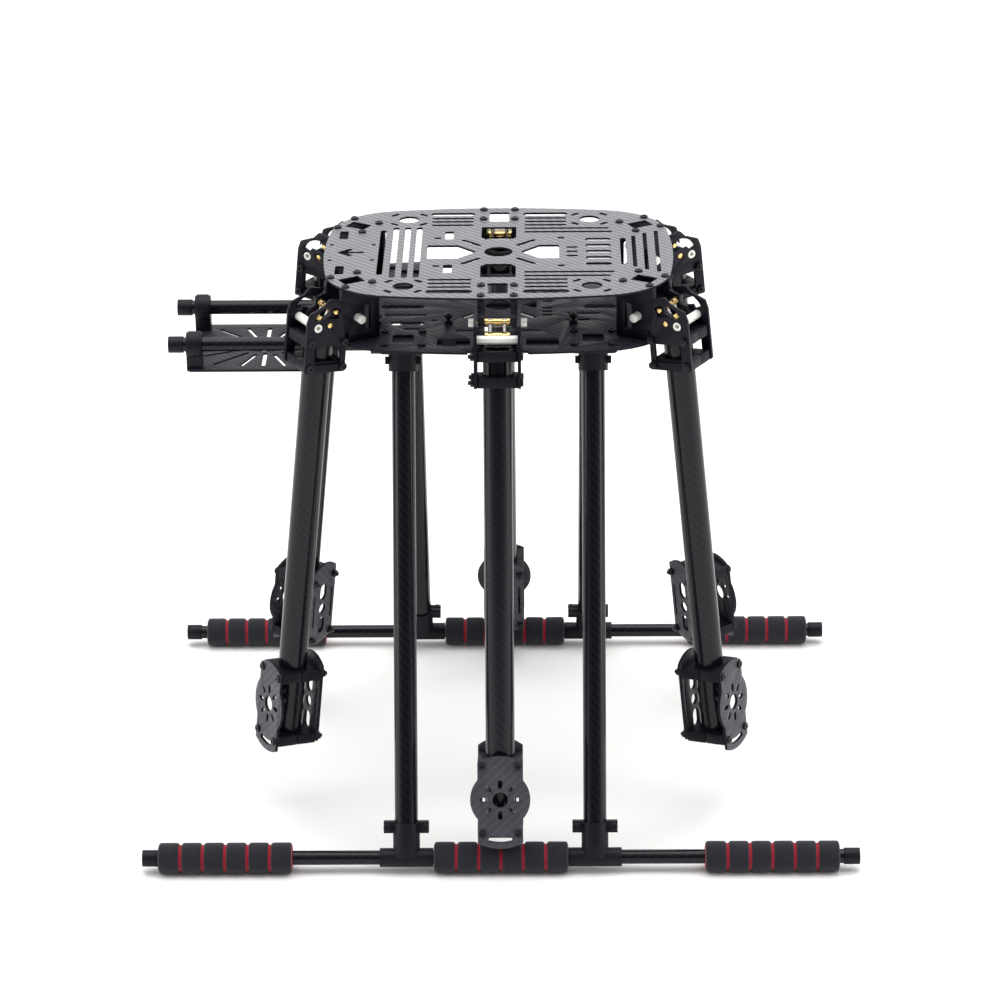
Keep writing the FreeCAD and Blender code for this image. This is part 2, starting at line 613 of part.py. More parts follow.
def arm_hardware(length):
    """Screws, nuts and the spacer bar of one arm."""
    pieces = []
    for x in CLAMP_SCREW_X:
        for z in CLAMP_SCREW_Z:
            screw = long_screw(CHEEK_OUT, -CHEEK_OUT)
            screw.rotate(V(0, 0, 0), V(1, 0, 0), -90.0)
            screw.translate(V(x, 0, z))
            pieces.append(screw)
    for x, y in mirrored(MOTOR_SCREW_X, MOTOR_SCREW_Y):
        screw = long_screw(MOTOR_PLATE_FACE, -MOTOR_PLATE_FACE)
        screw.translate(V(length + x, y, 0))
        pieces.append(screw)
    bar = cross_rod(SPACER_BAR_R, SPACER_BAR_AT[0], SPACER_BAR_AT[1], -CHEEK_OUT, CHEEK_OUT)
    bore = cross_rod(M3_R, SPACER_BAR_AT[0], SPACER_BAR_AT[1], -CHEEK_OUT - 1, CHEEK_OUT + 1)
    pieces.append(bar.cut(bore))
    return pieces


def long_screw(under_head, nut_face):
    """A screw along Z with its head above and its nut and tail below, as one solid."""
    screw = down_screw(0, 0, under_head, under_head - nut_face + M3_NUT_H + 1.6)
    nut = hexagon(M3_NUT_R * math.cos(math.radians(30.0)), V(0, 0, nut_face - M3_NUT_H), V(0, 0, 1), M3_NUT_H)
    return screw.fuse(nut)


# ---- landing gear -------------------------------------------------------------------
def leg_ends(sx, sy):
    """A leg's axis: where it meets the bottom plate and where it meets the skid."""
    return V(sx * LEG_X, sy * LEG_TOP_Y, BOTTOM_PLATE_Z), V(sx * LEG_X, sy * SKID_HALF_GAUGE, SKID_Z)


def along_leg(sx, sy, distance):
    """A point on a leg's axis, measured down from the bottom plate."""
    top, foot = leg_ends(sx, sy)
    return top + (foot - top).normalize() * distance


def leg_length():
    top, foot = leg_ends(1, 1)
    return (foot - top).Length


def leg_clamp(sx, sy):
    """A flange under the bottom plate with a sleeve that grips the leg."""
    x = sx * LEG_X
    y = sy * LEG_TOP_Y
    corners = [(x - 16.4, y - 16.4), (x + 16.4, y - 16.4), (x + 16.4, y + 16.4), (x - 16.4, y + 16.4)]
    flange = flat_prism(corners, 4.0, BOTTOM_PLATE_Z - 4.0, 4.0)
    sleeve = rod(10.2, along_leg(sx, sy, 0.0), along_leg(sx, sy, 21.0))
    ears = box((x - 12.4, x + 12.4), (-4.0, 4.0), (-2.6, 2.6))
    ears.rotate(V(0, 0, 0), V(1, 0, 0), sy * leg_tilt())
    ears.translate(along_leg(sx, sy, 13.5) - V(x, 0, 0))
    body = flange.fuse([sleeve, ears])
    above = box((x - 30, x + 30), (y - 40, y + 40), (BOTTOM_PLATE_Z, BOTTOM_PLATE_Z + 30))
    cuts = [above, rod(LEG_R, along_leg(sx, sy, 5.0), along_leg(sx, sy, 30.0))]
    for dx, dy in mirrored(LEG_SCREW, LEG_SCREW):
        cuts.append(Part.makeCylinder(M3_R, 12.0, V(x + dx, y + dy, BOTTOM_PLATE_Z - 8.0)))
    return body.cut(cuts)


def leg_tilt():
    return math.degrees(math.atan2(SKID_HALF_GAUGE - LEG_TOP_Y, BOTTOM_PLATE_Z - SKID_Z))


def leg_tube(sx, sy):
    top = along_leg(sx, sy, 5.0)
    foot = along_leg(sx, sy, leg_length() - 9.0)
    return rod(LEG_R, top, foot).cut(rod(LEG_R - 1.0, top, foot))


def skid_tee(sx, sy):
    """The joint of a leg and a skid: a leg socket on a sleeve that grips the skid tube."""
    full = leg_length()
    socket = rod(9.3, along_leg(sx, sy, full - 24.5), along_leg(sx, sy, full))
    foot = leg_ends(sx, sy)[1]
    sleeve = rod(6.6, foot - V(18.5, 0, 0), foot + V(18.5, 0, 0))
    lugs = on_tee(cheek_block(-15.6, 15.6, TEE_LUG_HALF_Y, -4.2, 4.2, 1.5), sx, sy, 0.0)
    cuts = [on_tee(box((-17.0, 17.0), (-0.5, 0.5), (-6.0, 6.0)), sx, sy, 0.0)]
    for shift in (-TEE_SCREW_X, TEE_SCREW_X):
        cuts.append(on_tee(rod(M3_R, V(0, -8, 0), V(0, 8, 0)), sx, sy, shift))
    cuts.append(rod(LEG_R, along_leg(sx, sy, full - 36.0), along_leg(sx, sy, full - 9.0)))
    cuts.append(rod(SKID_TUBE_R, foot - V(20, 0, 0), foot + V(20, 0, 0)))
    return socket.fuse([sleeve, lugs]).cut(cuts)


def on_tee(shape, sx, sy, shift):
    """Sets a shape on a skid tee's lugs, turned with the leg and moved along the skid."""
    shape.rotate(V(0, 0, 0), V(1, 0, 0), sy * leg_tilt())
    shape.translate(along_leg(sx, sy, leg_length() - TEE_LUG_UP) + V(shift, 0, 0))
    return shape


def skid_tube(sy):
    half = SKID_HALF_LENGTH - 2.0
    low = V(-half, sy * SKID_HALF_GAUGE, SKID_Z)
    high = V(half, sy * SKID_HALF_GAUGE, SKID_Z)
    return rod(SKID_TUBE_R, low, high).cut(rod(SKID_TUBE_R - 1.0, low, high))


def foam_grip(x, sy):
    half = FOAM_LENGTH / 2.0
    low = V(x - half, sy * SKID_HALF_GAUGE, SKID_Z)
    high = V(x + half, sy * SKID_HALF_GAUGE, SKID_Z)
    return rod(FOAM_R, low, high).cut(rod(SKID_TUBE_R, low, high))


def tube_cap(tip, inward, reach):
    """A push-on end cap: a short sleeve over a tube's end, closed at the tip."""
    cap = rod(5.8, tip, tip + inward * reach)
    return cap.cut(rod(5.0, tip + inward * 2.0, tip + inward * (reach + 1.0)))


def end_caps():
    caps = []
    for sy in (-1, 1):
        for sx in (-1, 1):
            tip = V(sx * SKID_HALF_LENGTH, sy * SKID_HALF_GAUGE, SKID_Z)
            caps.append(tube_cap(tip, V(-sx, 0, 0), 11.0))
        caps.append(tube_cap(V(RAIL_FRONT_X - 6.0, sy * RAIL_Y, RAIL_Z), V(1, 0, 0), 10.5))
        caps.append(tube_cap(V(RAIL_REAR_X + 2.0, sy * RAIL_Y, RAIL_Z), V(-1, 0, 0), 8.0))
    return caps


# ---- front accessory rails ----------------------------------------------------------
def rail(sy):
    start = V(RAIL_FRONT_X - 4.0, sy * RAIL_Y, RAIL_Z)
    end = V(RAIL_REAR_X, sy * RAIL_Y, RAIL_Z)
    return rod(RAIL_R, start, end).cut(rod(RAIL_R - 1.0, start, end))


def rail_hanger(x, sy):
    """Hangs a rail under the bottom plate."""
    y = sy * RAIL_Y
    ring = rod(7.2, V(x - 5.0, y, RAIL_Z), V(x + 5.0, y, RAIL_Z))
    neck = box((x - 5.0, x + 5.0), (y - 7.2, y + 7.2), (RAIL_Z, BOTTOM_PLATE_Z))
    cuts = [rod(RAIL_R, V(x - 7, y, RAIL_Z), V(x + 7, y, RAIL_Z))]
    cuts.append(Part.makeCylinder(M3_R, 20.0, V(x, y, BOTTOM_PLATE_Z - 3.0)))
    return ring.fuse(neck).cut(cuts)


def rail_collar(x, sy):
    """Clamps the battery plate under a rail."""
    y = sy * RAIL_Y
    ring = rod(9.4, V(x - 4.2, y, RAIL_Z), V(x + 4.2, y, RAIL_Z))
    step = rod(8.6, V(x - 5.4, y, RAIL_Z), V(x + 5.4, y, RAIL_Z))
    foot = box((x - 5.4, x + 5.4), (y - 5.5, y + 5.5), (BATTERY_PLATE_Z + PLATE_T, RAIL_Z))
    return ring.fuse([step, foot]).cut(rod(RAIL_R, V(x - 7, y, RAIL_Z), V(x + 7, y, RAIL_Z)))


def battery_plate():
    """A flat plate under the rails, with a sunburst of slots that takes straps and screws."""
    x0, x1 = BATTERY_PLATE_X
    half_y = BATTERY_PLATE_HALF_Y
    low = BATTERY_PLATE_Z
    plate = flat_prism([(x0, -half_y), (x1, -half_y), (x1, half_y), (x0, half_y)], 4.0, low, PLATE_T)
    middle = (x0 + x1) / 2.0
    cuts = []
    # each slot's two end radii, from the X axis round to the Y axis
    spokes = ((14.0, 42.6), (18.0, 45.6), (18.0, 48.6), (18.0, 39.6), (14.0, 36.6))
    for turn in range(16):
        angle = math.radians(22.5 * turn)
        near, far = spokes[4 - abs(turn % 8 - 4)]
        cuts.append(capsule(middle + near * math.cos(angle), near * math.sin(angle),
                            middle + far * math.cos(angle), far * math.sin(angle), 2.8, low - 1, PLATE_T + 2))
    return plate.cut(cuts)


stations = [Station(index) for index in range(ARM_COUNT)]


def build_hub():
    export(top_plate(), "top_plate")
    export(bottom_plate(), "bottom_plate")
    seats = []
    rods = []
    pins = []
    springs = []
    for station in stations:
        seats += [station.seat(plate) for plate in seat_plates(station)]
        rods.append(station.seat(cross_rod(SEAT_ROD_R, SEAT_ROD_AT[0], SEAT_ROD_AT[1],
                                           -SEAT_ROD_HALF, SEAT_ROD_HALF)))
        pins.append(station.seat(grooved_pin(HINGE_PIN_R, 0, 0, 15.5)))
        springs += [station.seat(spring) for spring in latch_springs()]
        export(station.seat(latch_pin()), "latch_pin_" + station.name)
    export(Part.Compound(seats), "arm_seats")
    export(Part.Compound(rods), "seat_rods")
    export(Part.Compound(pins), "hinge_pins")
    export(Part.Compound(springs), "latch_springs")
    export(Part.Compound(frame_screws()), "frame_screws")


def build_arm(station):
    length = station.arm_length
    export(station.fold(arm_tube(length)), "arm_tube_" + station.name)
    cheeks = [station.fold(plate) for plate in cheek_plates()]
    export(Part.Compound(cheeks), "hinge_cheeks_" + station.name)
    clamps = [hinge_clamp(x) for x in CLAMP_SCREW_X]
    clamps += [motor_clamp(length + x) for x in (-MOTOR_SCREW_X, MOTOR_SCREW_X)]
    export(Part.Compound([station.fold(clamp) for clamp in clamps]), "tube_clamps_" + station.name)
    plates = [station.fold(plate) for plate in motor_plates(length)]
    export(Part.Compound(plates), "motor_plates_" + station.name)
    hardware = [station.fold(piece) for piece in arm_hardware(length)]
    export(Part.Compound(hardware), "arm_hardware_" + station.name)


def build_landing_gear():
    corners = [(-1, -1), (1, -1), (1, 1), (-1, 1)]
    for number, (sx, sy) in enumerate(corners):
        export(leg_tube(sx, sy), "leg_tube_" + str(number + 1))
    export(Part.Compound([leg_clamp(sx, sy) for sx, sy in corners]), "leg_clamps")
    export(Part.Compound([skid_tee(sx, sy) for sx, sy in corners]), "skid_tees")
    export(Part.Compound([skid_tube(sy) for sy in (-1, 1)]), "skid_tubes")
    number = 1
    for sy in (-1, 1):
        for x in FOAM_X[sy]:
            export(foam_grip(x, sy), "foam_grip_" + str(number))
            number += 1
    export(Part.Compound(end_caps()), "end_caps")


def build_rails():
    export(Part.Compound([rail(sy) for sy in (-1, 1)]), "accessory_rails")
    hangers = [rail_hanger(x, sy) for x in HANGER_X for sy in (-1, 1)]
    hangers += [rail_collar(x, sy) for x in RAIL_COLLAR_X for sy in (-1, 1)]
    export(Part.Compound(hangers), "rail_hangers")
    export(battery_plate(), "battery_plate")


os.makedirs("parts", exist_ok=True)
build_hub()
for arm_station in stations:
    build_arm(arm_station)
build_landing_gear()
build_rails()
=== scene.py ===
import json
import math

import bmesh
import bpy
from mathutils import Matrix, Vector, noise


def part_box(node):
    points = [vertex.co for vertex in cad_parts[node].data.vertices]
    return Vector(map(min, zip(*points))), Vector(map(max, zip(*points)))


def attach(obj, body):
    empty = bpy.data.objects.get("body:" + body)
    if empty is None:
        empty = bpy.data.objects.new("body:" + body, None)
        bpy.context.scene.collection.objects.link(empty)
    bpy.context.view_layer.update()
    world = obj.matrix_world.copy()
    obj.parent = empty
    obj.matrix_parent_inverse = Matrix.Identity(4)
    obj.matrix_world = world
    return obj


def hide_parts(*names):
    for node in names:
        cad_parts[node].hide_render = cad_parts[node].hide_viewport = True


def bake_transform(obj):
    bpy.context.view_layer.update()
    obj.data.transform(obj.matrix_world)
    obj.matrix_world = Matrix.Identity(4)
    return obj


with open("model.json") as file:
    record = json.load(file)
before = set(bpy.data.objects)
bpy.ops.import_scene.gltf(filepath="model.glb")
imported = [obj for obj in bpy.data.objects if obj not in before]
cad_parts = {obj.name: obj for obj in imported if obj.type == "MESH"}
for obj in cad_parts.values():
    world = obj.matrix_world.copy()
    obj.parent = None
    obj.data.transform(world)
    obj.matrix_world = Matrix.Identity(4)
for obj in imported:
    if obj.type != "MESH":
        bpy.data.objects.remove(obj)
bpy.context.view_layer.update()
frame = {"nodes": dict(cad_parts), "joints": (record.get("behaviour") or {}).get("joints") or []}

# Folding hexacopter frame.  Metres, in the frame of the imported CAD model: +X the tail,
# -X the nose, +Z up, origin on the ground under the hub.

MM = 0.001
ARMS = [str(number) for number in range(1, 7)]
JOINTS = {joint["name"]: joint for joint in frame["joints"]}

# ---- looks that several pieces share ------------------------------------------------
TOW = 1.65 * MM                    # width of one carbon tow in the weave
EDGE = 0.22 * MM                   # broken edge on machined and moulded parts
PLATE_EDGE = 0.16 * MM             # and on cut laminate
MOTOR_PLATE_EDGE = 0.18 * MM
CHEEK_EDGE = 0.25 * MM
CLAMP_EDGE = 0.3 * MM
SMALL_EDGE = 0.15 * MM
SMOOTH_DEG = 35.0                  # sharper edges than this stay sharp
BEVEL_DEG = 32.0
WELD = 0.002 * MM                  # CAD vertices closer than this are one


# ---- geometry helpers ---------------------------------------------------------------
def link(name, mesh):
    obj = bpy.data.objects.new(name, mesh)
    bpy.context.scene.collection.objects.link(obj)
    return obj


def mesh_from(bm, name):
    mesh = bpy.data.meshes.new(name)
    bm.to_mesh(mesh)
    bm.free()
    return mesh


def finish_shading(mesh, degrees=SMOOTH_DEG):
    mesh.shade_smooth()
    mesh.set_sharp_from_angle(angle=math.radians(degrees))


def softened(node, name, width=EDGE):
    """A copy of a CAD node with welded faces and broken edges."""
    bm = bmesh.new()
    bm.from_mesh(frame["nodes"][node].data)
    bmesh.ops.remove_doubles(bm, verts=bm.verts, dist=WELD)
    bmesh.ops.dissolve_limit(bm, angle_limit=math.radians(1.0), verts=bm.verts, edges=bm.edges)
    obj = link(name, mesh_from(bm, name))
    bevel = obj.modifiers.new("edge", "BEVEL")
    bevel.width = width
    bevel.segments = 2
    bevel.limit_method = "ANGLE"
    bevel.angle_limit = math.radians(BEVEL_DEG)
    bevel.use_clamp_overlap = True
    bevel.miter_outer = "MITER_ARC"
    evaluated = obj.evaluated_get(bpy.context.evaluated_depsgraph_get())
    mesh = bpy.data.meshes.new_from_object(evaluated)
    obj.modifiers.clear()
    obj.data = mesh
    finish_shading(mesh)
    return obj


def install(piece, body, slot, material, *nodes):
    """Rides the piece on its body, gives it its material when it has none, and hides its CAD nodes. The slot
    is not used.
    """
    if not piece.data.materials:
        piece.data.materials.append(material)
    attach(piece, body)
    if nodes:
        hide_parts(*nodes)
    return piece


def write_uv(mesh, place):
    """Fills the UV layer, in tow widths, from a function of the vertex place."""
    layer = mesh.uv_layers.get("weave") or mesh.uv_layers.new(name="weave")
    for loop in mesh.loops:
        u, v = place(mesh.vertices[loop.vertex_index].co)
        layer.data[loop.index].uv = (u / TOW, v / TOW)


def flat_weave(mesh, origin, along, across):
    """Lays the weave flat on a plate, its tows along and across the plate."""
    write_uv(mesh, lambda co: ((co - origin).dot(along), (co - origin).dot(across)))


def side_axes(axis):
    """Two unit vectors square to the axis."""
    helper = Vector((0, 0, 1)) if abs(axis.z) < 0.9 else Vector((0, 1, 0))
    first = axis.cross(helper).normalized()
    return first, axis.cross(first).normalized()


def lathe(name, start, axis, profile, sides=72, rough=None):
    """Turns a profile of (distance along the axis, radius, material index) round the axis."""
    first, second = side_axes(axis)
    bm = bmesh.new()
    layer = bm.loops.layers.uv.new("weave")
    rings = []
    radius_max = max(radius for _, radius, _ in profile)
    tows = max(4, 4 * round(2.0 * math.pi * radius_max / TOW / 4.0))
    for along, radius, _ in profile:
        ring = []
        for step in range(sides):
            angle = 2.0 * math.pi * step / sides
            out = first * math.cos(angle) + second * math.sin(angle)
            spot = start + axis * along + out * radius
            if rough:
                spot += out * rough(along, angle, radius)
            ring.append(bm.verts.new(spot))
        rings.append(ring)
    for index in range(len(rings) - 1):
        for step in range(sides):
            after = (step + 1) % sides
            near, far = rings[index], rings[index + 1]
            face = bm.faces.new((near[step], near[after], far[after], far[step]))
            face.material_index = profile[index][2]
            spots = ((index, step), (index, step + 1), (index + 1, step + 1), (index + 1, step))
            for loop, (row, turn) in zip(face.loops, spots):
                loop[layer].uv = (tows * turn / sides, profile[row][0] / TOW)
    bmesh.ops.remove_doubles(bm, verts=bm.verts, dist=0.0005 * MM)
    bmesh.ops.recalc_face_normals(bm, faces=bm.faces)
    mesh = mesh_from(bm, name)
    finish_shading(mesh)
    return link(name, mesh)


def tube(name, start, end, outer, inner, chamfer=0.35 * MM):
    """An open tube with broken end edges."""
    axis = (end - start).normalized()
    length = (end - start).length
    profile = [(chamfer, inner, 0), (0.0, inner + chamfer, 0), (0.0, outer - chamfer, 0), (chamfer, outer, 0)]
    runs = max(2, int(length / (20.0 * MM)))
    for step in range(1, runs):
        profile.append((length * step / runs, outer, 0))
    profile += [(length - chamfer, outer, 0), (length, outer - chamfer, 0), (length, inner + chamfer, 0),
                (length - chamfer, inner, 0), (chamfer, inner, 0)]
    return lathe(name, start, axis, profile)


# ---- material helpers ---------------------------------------------------------------
class Graph:
    """A material's node tree with short ways to add and join nodes."""

    def __init__(self, name):
        self.material = bpy.data.materials.new(name)
        self.material.use_nodes = True
        self.nodes = self.material.node_tree.nodes
        self.links = self.material.node_tree.links
        self.shader = self.nodes["Principled BSDF"]

    def node(self, kind, **settings):
        made = self.nodes.new(kind)
        for key, value in settings.items():
            setattr(made, key, value)
        return made

    def plug(self, source, target):
        if isinstance(source, (int, float)):
            target.default_value = source
        else:
            self.links.new(source, target)

    def math(self, operation, *values):
        made = self.node("ShaderNodeMath", operation=operation)
        for socket, value in zip(made.inputs, values):
            self.plug(value, socket)
        return made.outputs[0]

    def coordinates(self, kind="Object"):
        return self.node("ShaderNodeTexCoord").outputs[kind]

    def noise(self, scale, detail=3.0, roughness=0.5, vector=None):
        made = self.node("ShaderNodeTexNoise")
        made.inputs["Scale"].default_value = scale
        made.inputs["Detail"].default_value = detail
        made.inputs["Roughness"].default_value = roughness
        self.links.new(vector or self.coordinates(), made.inputs["Vector"])
        return made.outputs["Fac"]

    def blend_colours(self, factor, low, high):
        made = self.node("ShaderNodeMix", data_type="RGBA")
        self.plug(factor, made.inputs[0])
        for socket, colour in ((made.inputs[6], low), (made.inputs[7], high)):
            if isinstance(colour, tuple):
                socket.default_value = (*colour, 1.0)
            else:
                self.links.new(colour, socket)
        return made.outputs[2]

    def spread(self, value, low, high):
        made = self.node("ShaderNodeMapRange")
        self.plug(value, made.inputs["Value"])
        made.inputs["To Min"].default_value = low
        made.inputs["To Max"].default_value = high
        return made.outputs["Result"]

    def bump(self, height, strength, distance):
        made = self.node("ShaderNodeBump")
        made.inputs["Strength"].default_value = strength
        made.inputs["Distance"].default_value = distance
        self.links.new(height, made.inputs["Height"])
        self.links.new(made.outputs["Normal"], self.shader.inputs["Normal"])

    def set(self, **values):
        for key, value in values.items():
            self.shader.inputs[key.replace("_", " ")].default_value = value

    def paint(self, socket, source):
        self.links.new(source, self.shader.inputs[socket])


def carbon(name, warp_colour_and_sheen, weft_colour_and_sheen, warp_rough, weft_rough, coat, relief, shine=0.5):
    """A two-by-two twill of carbon tows, on UVs that count tow widths. The warp tows are coloured lighter
    than the weft tows as painted sheen, and each tow's colour darkens towards its edges as painted shade.
    """
    graph = Graph(name)
    uv = graph.node("ShaderNodeUVMap", uv_map="weave").outputs["UV"]
    parts = graph.node("ShaderNodeSeparateXYZ")
    graph.links.new(uv, parts.inputs[0])
    u, v = parts.outputs["X"], parts.outputs["Y"]
    step = graph.math("MODULO", graph.math("ADD", graph.math("FLOOR", u), graph.math("FLOOR", v)), 4.0)
    step = graph.math("MODULO", graph.math("ADD", step, 4.0), 4.0)
    over = graph.math("LESS_THAN", step, 1.5)

    def crown(value):
        across = graph.math("MULTIPLY", graph.math("SUBTRACT", graph.math("FRACT", value), 0.5), 2.0)
        return graph.math("SUBTRACT", 1.0, graph.math("POWER", graph.math("ABSOLUTE", across), 2.5))

    height = graph.node("ShaderNodeMix", data_type="FLOAT")
    graph.plug(over, height.inputs[0])
    graph.plug(crown(v), height.inputs[2])
    graph.plug(crown(u), height.inputs[3])
    stretch = graph.node("ShaderNodeMapping")
    stretch.inputs["Scale"].default_value = (9.0, 0.6, 1.0)
    graph.links.new(uv, stretch.inputs["Vector"])
    threads_v = graph.noise(1.0, 2.0, 0.6, stretch.outputs["Vector"])
    stretch = graph.node("ShaderNodeMapping")
    stretch.inputs["Scale"].default_value = (0.6, 9.0, 1.0)
    graph.links.new(uv, stretch.inputs["Vector"])
    threads_u = graph.noise(1.0, 2.0, 0.6, stretch.outputs["Vector"])
    threads = graph.node("ShaderNodeMix", data_type="FLOAT")
    graph.plug(over, threads.inputs[0])
    graph.plug(threads_u, threads.inputs[2])
    graph.plug(threads_v, threads.inputs[3])
    # painted sheen: the warp colour is set lighter than the weft colour
    tow_colour_and_sheen = graph.blend_colours(over, weft_colour_and_sheen, warp_colour_and_sheen)
    # painted shade: each tow's colour falls to 0.62 at its edges, where the tows dip under each other; the
    # thread noise is fibre streaks
    tow_edge_shade_and_streaks = graph.math("MULTIPLY", graph.spread(height.outputs[0], 0.62, 1.0),
                       graph.spread(threads.outputs[0], 0.75, 1.25))
    tow_colour_with_painted_light = graph.node("ShaderNodeVectorMath", operation="SCALE")
    graph.links.new(tow_colour_and_sheen, tow_colour_with_painted_light.inputs[0])
    graph.plug(tow_edge_shade_and_streaks, tow_colour_with_painted_light.inputs["Scale"])
    graph.paint("Base Color", tow_colour_with_painted_light.outputs[0])
    rough = graph.node("ShaderNodeMix", data_type="FLOAT")
    graph.plug(over, rough.inputs[0])
    rough.inputs[2].default_value = weft_rough
    rough.inputs[3].default_value = warp_rough
    smudge = graph.spread(graph.noise(26.0, 3.0), -0.05, 0.05)
    graph.paint("Roughness", graph.math("ADD", rough.outputs[0], smudge))
    graph.set(Coat_Weight=coat, Coat_Roughness=0.10, IOR=1.5, Specular_IOR_Level=shine)
    graph.bump(height.outputs[0], relief, 0.12 * MM)
    return graph.material


def machined(name, colour, metallic, rough, grain_scale, relief, swing=0.25, shine=0.5):
    """A cut, moulded or blasted surface with fine grain and soft blotches."""
    graph = Graph(name)
    blotch = graph.noise(35.0, 4.0, 0.6)
    grain = graph.noise(grain_scale, 2.0, 0.5)
    light = tuple(min(1.0, part * (1.0 + swing) + 0.003) for part in colour)
    dark = tuple(part * (1.0 - swing) for part in colour)
    graph.paint("Base Color", graph.blend_colours(blotch, dark, light))
    graph.paint("Roughness", graph.math("ADD", graph.spread(blotch, rough - 0.06, rough + 0.06),
                                        graph.spread(grain, -0.05, 0.05)))
    graph.set(Metallic=metallic, Specular_IOR_Level=shine)
    graph.bump(grain, relief, 0.05 * MM)
    return graph.material


def foam(name, dark, light, relief):
    """Closed-cell foam: small cells, some torn open, with a soft sheen. The colour darkens in each cell's
    hollow as painted shade, and in random patches.
    """
    graph = Graph(name)
    cells = graph.node("ShaderNodeTexVoronoi")
    cells.inputs["Scale"].default_value = 1400.0
    graph.links.new(graph.coordinates(), cells.inputs["Vector"])
    patch = graph.noise(120.0, 5.0, 0.7)
    pit_shade_and_patches = graph.math("MULTIPLY", graph.spread(cells.outputs["Distance"], 0.3, 1.0), patch)
    graph.paint("Base Color", graph.blend_colours(pit_shade_and_patches, dark, light))
    graph.set(Roughness=0.92, Sheen_Weight=0.12, Sheen_Roughness=0.6, Specular_IOR_Level=0.25)
    graph.bump(graph.math("ADD", cells.outputs["Distance"], patch), relief, 0.25 * MM)
    return graph.material


# The top plate's light grey tows are painted sheen of the overhead light; the carbon itself is near black
# like the lower plates.
PAINTED_SHEEN_PLATE = carbon("plate_twill_painted_sheen", (0.235, 0.235, 0.255), (0.145, 0.145, 0.160), 0.40, 0.46, 0.0, 0.30)
LOWER_PLATE = carbon("lower_twill", (0.028, 0.028, 0.040), (0.014, 0.014, 0.022), 0.42, 0.50, 0.0, 0.22, 0.35)
MOTOR_PLATE = carbon("motor_plate_twill", (0.060, 0.060, 0.076), (0.046, 0.046, 0.058), 0.44, 0.50, 0.0,
                     0.15, 0.35)
PLATE_SIDE = machined("cut_laminate", (0.008, 0.008, 0.014), 0.0, 0.60, 2200.0, 0.20, 0.25, 0.15)
TUBE = carbon("tube_twill", (0.008, 0.008, 0.013), (0.004, 0.004, 0.008), 0.16, 0.20, 0.0, 0.05, 0.28)
ANODISED = machined("black_anodised", (0.005, 0.005, 0.011), 0.0, 0.36, 2600.0, 0.08, 0.25, 0.18)
MOULDED = machined("black_moulding", (0.005, 0.005, 0.010), 0.0, 0.44, 1500.0, 0.14, 0.25, 0.18)
SCREW = machined("black_oxide", (0.007, 0.007, 0.012), 0.1, 0.32, 1800.0, 0.06, 0.25, 0.30)
ALUMINIUM = machined("blasted_aluminium", (0.88, 0.88, 0.83), 0.30, 0.46, 3000.0, 0.10, 0.05)
BRASS = machined("turned_brass", (0.85, 0.60, 0.24), 1.0, 0.24, 900.0, 0.05, 0.10)
SPRING = machined("spring_wire", (0.86, 0.86, 0.86), 0.8, 0.26, 1200.0, 0.04, 0.06)
FOAM = foam("black_foam", (0.004, 0.004, 0.008), (0.020, 0.020, 0.030), 0.50)
RED_FOAM = foam("red_foam", (0.22, 0.004, 0.016), (0.46, 0.012, 0.036), 0.30)


FACE_COSINE = 0.7                  # a facet turned further from the plate's normal is its side


# ---- hub ----------------------------------------------------------------------------
def laminate(node, name, face_material, normal, width):
    """A flat plate with woven faces and dark cut sides."""
    piece = softened(node, name, width)
    for material in (face_material, PLATE_SIDE):
        piece.data.materials.append(material)
    for polygon in piece.data.polygons:
        polygon.material_index = 0 if abs(polygon.normal.dot(normal)) > FACE_COSINE else 1
    return piece


def plate_piece(node, material):
    piece = laminate(node, node + "_laminate", material, Vector((0, 0, 1)), PLATE_EDGE)
    flat_weave(piece.data, Vector((0, 0, 0)), Vector((1, 0, 0)), Vector((0, 1, 0)))
    install(piece, "frame", "carbon_plate", material, node)


def plain_pieces():
    """Root parts whose CAD shape is right: they get broken edges and their finish."""
    looks = {
        "arm_seats": ("black_anodised", ANODISED),
        "seat_rods": ("bare_aluminium", ALUMINIUM),
        "hinge_pins": ("brass_pins", BRASS),
        "frame_screws": ("black_screws", SCREW),
        "leg_clamps": ("black_moulding", MOULDED),
        "skid_tees": ("black_moulding", MOULDED),
        "end_caps": ("black_moulding", MOULDED),
        "rail_hangers": ("black_moulding", MOULDED),
    }
    for node, (slot, material) in looks.items():
        install(softened(node, node + "_finished"), "frame", slot, material, node)


# ---- one arm ------------------------------------------------------------------------
class Arm:
    """An arm's folded frame: its pivot, and unit vectors along, across and above it."""

    def __init__(self, number):
        joint = JOINTS["arm_fold_" + number]
        self.number = number
        self.body = "arm_" + number
        self.pivot = Vector(joint["pos_m"])
        self.across = -Vector(joint["axis"])
        outward = self.across.cross(Vector((0, 0, 1)))
        turn = math.radians(joint["range_deg"][1])
        self.along = outward * math.cos(turn) - Vector((0, 0, 1)) * math.sin(turn)
        self.above = outward * math.sin(turn) + Vector((0, 0, 1)) * math.cos(turn)

    def spot(self, along, across, above):
        return self.pivot + self.along * along + self.across * across + self.above * above

    def reach(self, node):
        """How far a CAD node extends along the arm from its pivot."""
        spots = [(v.co - self.pivot).dot(self.along) for v in frame["nodes"][node].data.vertices]
        return min(spots), max(spots)

    def radius(self, node):
        offsets = []
        for vertex in frame["nodes"][node].data.vertices:
            arm_line = vertex.co - self.pivot
            offsets.append((arm_line - self.along * arm_line.dot(self.along)).length)
        return min(offsets), max(offsets)


